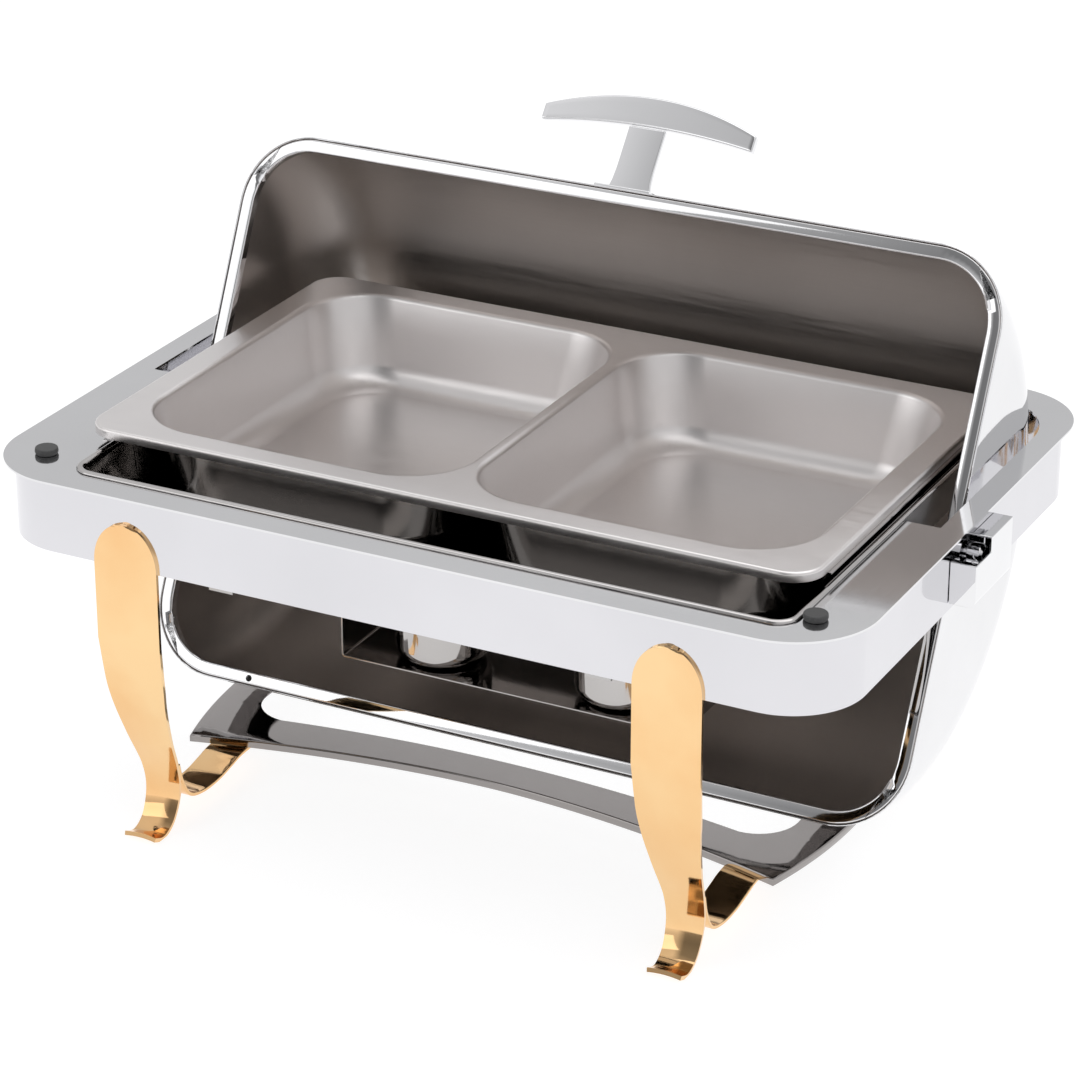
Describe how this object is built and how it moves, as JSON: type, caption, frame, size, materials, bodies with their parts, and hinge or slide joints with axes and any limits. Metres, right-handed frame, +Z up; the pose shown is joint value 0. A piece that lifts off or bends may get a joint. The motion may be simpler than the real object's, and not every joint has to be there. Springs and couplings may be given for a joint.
{
  "type": "chafing dish food warmer",
  "caption": "Roll-top food warmer: a polished half-drum lid turns on side pivots around a divided pan over a water pan, with burner cups below and curled gold legs.",
  "frame": {"origin": "on the floor under the middle of the frame", "axes": "+X along the frame's long side to the right, +Y towards the rear, where the lid rolls back, and +Z up"},
  "size_m": [0.6482, 0.446, 0.4449],
  "materials": {
    "mirror_steel": "mirror polished",
    "satin_steel": "satin brushed",
    "dark_steel": "dark mirror polished",
    "chrome": "bright polished",
    "gold_plate": "polished gold plate",
    "rubber": "dull moulded"
  },
  "bodies": {
    "frame": {"frame_top": "mirror_steel", "frame_skirt": "mirror_steel", "burner_tray": "mirror_steel", "tray_screw_left": "mirror_steel", "tray_screw_right": "mirror_steel", "bumper_left": "rubber", "bumper_right": "rubber", "shelf_washer_front_left": "rubber", "shelf_washer_front_right": "rubber", "shelf_washer_rear_left": "rubber", "shelf_washer_rear_right": "rubber", "pan_belt": "satin_steel", "cradle_strap_left": "satin_steel", "cradle_strap_right": "satin_steel", "pivot_nut_left": "satin_steel", "pivot_nut_right": "satin_steel", "pivot_spacer_left": "satin_steel", "pivot_spacer_right": "satin_steel", "leg_nut_front_left": "satin_steel", "leg_nut_front_right": "satin_steel", "leg_nut_rear_left": "satin_steel", "leg_nut_rear_right": "satin_steel", "shelf_nut_front_left": "satin_steel", "shelf_nut_front_right": "satin_steel", "shelf_nut_rear_left": "satin_steel", "shelf_nut_rear_right": "satin_steel", "pivot_pin_left": "chrome", "pivot_pin_right": "chrome", "pivot_bracket_left": "chrome", "pivot_bracket_right": "chrome", "leg_front_left": "gold_plate", "leg_front_right": "gold_plate", "leg_rear_left": "gold_plate", "leg_rear_right": "gold_plate", "leg_strap_front_left": "gold_plate", "leg_strap_front_right": "gold_plate", "leg_strap_rear_left": "gold_plate", "leg_strap_rear_right": "gold_plate", "shelf": "dark_steel"},
    "lid": {"lid_shell": "mirror_steel", "lid_rim": "mirror_steel", "lid_ear_left": "satin_steel", "lid_ear_right": "satin_steel", "handle_foot": "chrome", "handle_post": "chrome", "handle_crossbar": "chrome", "handle_screw_left": "satin_steel", "handle_screw_right": "satin_steel"},
    "water_pan": {"water_pan": "mirror_steel", "pan_rest_left": "mirror_steel", "pan_rest_right": "mirror_steel"},
    "food_pan": {"food_pan": "satin_steel"},
    "burner_cup_left": {"burner_cup_left": "chrome"},
    "burner_cup_right": {"burner_cup_right": "chrome"}
  },
  "joints": [
    {"name": "lid_hinge", "type": "hinge", "parent": "frame", "child": "lid", "pos_m": [0, 0, 0.234], "axis": [-1, 0, 0], "range_deg": [-116, 38]},
    {"name": "water_pan_lift", "type": "slide", "parent": "frame", "child": "water_pan", "axis": [0, 0, 1], "range_m": [0, 0.01]},
    {"name": "food_pan_lift", "type": "slide", "parent": "water_pan", "child": "food_pan", "axis": [0, 0, 1], "range_m": [0, 0.018]},
    {"name": "burner_cup_left_lift", "type": "slide", "parent": "frame", "child": "burner_cup_left", "axis": [0, 0, 1], "range_m": [0, 0.015]},
    {"name": "burner_cup_right_lift", "type": "slide", "parent": "frame", "child": "burner_cup_right", "axis": [0, 0, 1], "range_m": [0, 0.015]}
  ]
}
